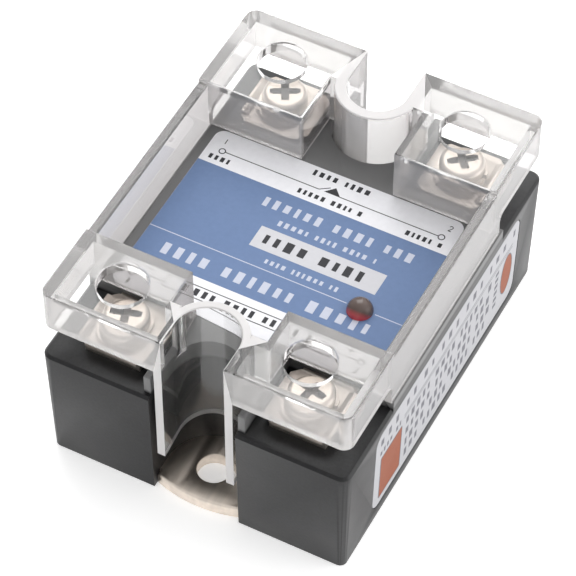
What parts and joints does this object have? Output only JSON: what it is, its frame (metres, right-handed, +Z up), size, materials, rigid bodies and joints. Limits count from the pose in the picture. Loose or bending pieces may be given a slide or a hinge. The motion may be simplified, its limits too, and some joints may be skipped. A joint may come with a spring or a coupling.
{
  "type": "solid_state_relay",
  "caption": "Panel-mount solid state relay with a black housing, metal base plate, screw terminals under clamp plates and a lift-off clear cover.",
  "frame": {"origin": "centre of the foot of the base plate and housing", "axes": "X across the width, Y along the length from the control end to the load end, Z up out of the panel"},
  "size_m": [0.0446, 0.0584, 0.0312],
  "materials": {
    "housing_black": "fine moulded texture, satin",
    "clear_plastic": "polished transparent polycarbonate",
    "base_metal": "brushed plate",
    "label_blue": "printed film, satin",
    "label_grey": "printed film, satin",
    "lamp_red": "smoky tinted lens",
    "nickel": "nickel plated steel, bright",
    "clamp_nickel": "nickel plated sheet, satin",
    "tinned_copper": "tinned copper, dull",
    "bare_copper": "bare copper",
    "solder": "dull solder",
    "alumina": "unglazed, matt",
    "silicon": "polished grey",
    "board_green": "solder mask, satin",
    "chip_black": "moulded epoxy",
    "film_yellow": "moulded case, satin",
    "resistor_body": "lacquered, satin",
    "diode_glass": "glass body",
    "varistor_blue": "dipped epoxy, gloss",
    "potting": "cast epoxy, semi gloss"
  },
  "bodies": {
    "frame": {"base_plate": "base_metal", "housing": "housing_black", "top_label": "label_blue", "side_label": "label_grey", "status_lamp": "lamp_red", "lamp_leads": "tinned_copper", "terminal_nuts": "nickel", "solder_layer": "solder", "ceramic_substrate": "alumina", "copper_pads": "bare_copper", "thyristor_chips": "silicon", "chip_straps": "bare_copper", "gate_leads": "tinned_copper", "circuit_board": "board_green", "optocoupler": "chip_black", "snubber_capacitor": "film_yellow", "snubber_resistor": "resistor_body", "gate_resistor_a": "resistor_body", "gate_resistor_b": "resistor_body", "input_diode": "diode_glass", "input_transistor": "chip_black", "surge_varistor": "varistor_blue", "potting_resin": "potting", "terminal_bar_1": "tinned_copper", "terminal_bar_2": "tinned_copper", "terminal_bar_3": "tinned_copper", "terminal_bar_4": "tinned_copper"},
    "cover": {"clear_cover": "clear_plastic"},
    "clamp_1": {"clamp_plate_1": "clamp_nickel", "spring_washer_1": "nickel"},
    "screw_1": {"terminal_screw_1": "nickel"},
    "clamp_2": {"clamp_plate_2": "clamp_nickel", "spring_washer_2": "nickel"},
    "screw_2": {"terminal_screw_2": "nickel"},
    "clamp_3": {"clamp_plate_3": "clamp_nickel", "spring_washer_3": "nickel"},
    "screw_3": {"terminal_screw_3": "nickel"},
    "clamp_4": {"clamp_plate_4": "clamp_nickel", "spring_washer_4": "nickel"},
    "screw_4": {"terminal_screw_4": "nickel"}
  },
  "joints": [
    {"name": "cover_lift", "type": "slide", "parent": "frame", "child": "cover", "axis": [0, 0, 1], "range_m": [0, 0.022]},
    {"name": "clamp_1_lift", "type": "slide", "parent": "frame", "child": "clamp_1", "axis": [0, 0, 1], "range_m": [0, 0.003]},
    {"name": "screw_1_turn", "type": "hinge", "parent": "clamp_1", "child": "screw_1", "pos_m": [-0.0134, 0.0219, 0.02265], "axis": [0, 0, 1], "range_deg": [0, 1543]},
    {"name": "clamp_2_lift", "type": "slide", "parent": "frame", "child": "clamp_2", "axis": [0, 0, 1], "range_m": [0, 0.003]},
    {"name": "screw_2_turn", "type": "hinge", "parent": "clamp_2", "child": "screw_2", "pos_m": [0.0134, 0.0219, 0.02265], "axis": [0, 0, 1], "range_deg": [0, 1543]},
    {"name": "clamp_3_lift", "type": "slide", "parent": "frame", "child": "clamp_3", "axis": [0, 0, 1], "range_m": [0, 0.003]},
    {"name": "screw_3_turn", "type": "hinge", "parent": "clamp_3", "child": "screw_3", "pos_m": [0.0134, -0.0219, 0.02265], "axis": [0, 0, 1], "range_deg": [0, 1543]},
    {"name": "clamp_4_lift", "type": "slide", "parent": "frame", "child": "clamp_4", "axis": [0, 0, 1], "range_m": [0, 0.003]},
    {"name": "screw_4_turn", "type": "hinge", "parent": "clamp_4", "child": "screw_4", "pos_m": [-0.0134, -0.0219, 0.02265], "axis": [0, 0, 1], "range_deg": [0, 1543]}
  ],
  "couplings": [
    {"joint": "screw_1_turn", "follows": "clamp_1_lift", "rad_per_m": 8976},
    {"joint": "screw_2_turn", "follows": "clamp_2_lift", "rad_per_m": 8976},
    {"joint": "screw_3_turn", "follows": "clamp_3_lift", "rad_per_m": 8976},
    {"joint": "screw_4_turn", "follows": "clamp_4_lift", "rad_per_m": 8976}
  ]
}
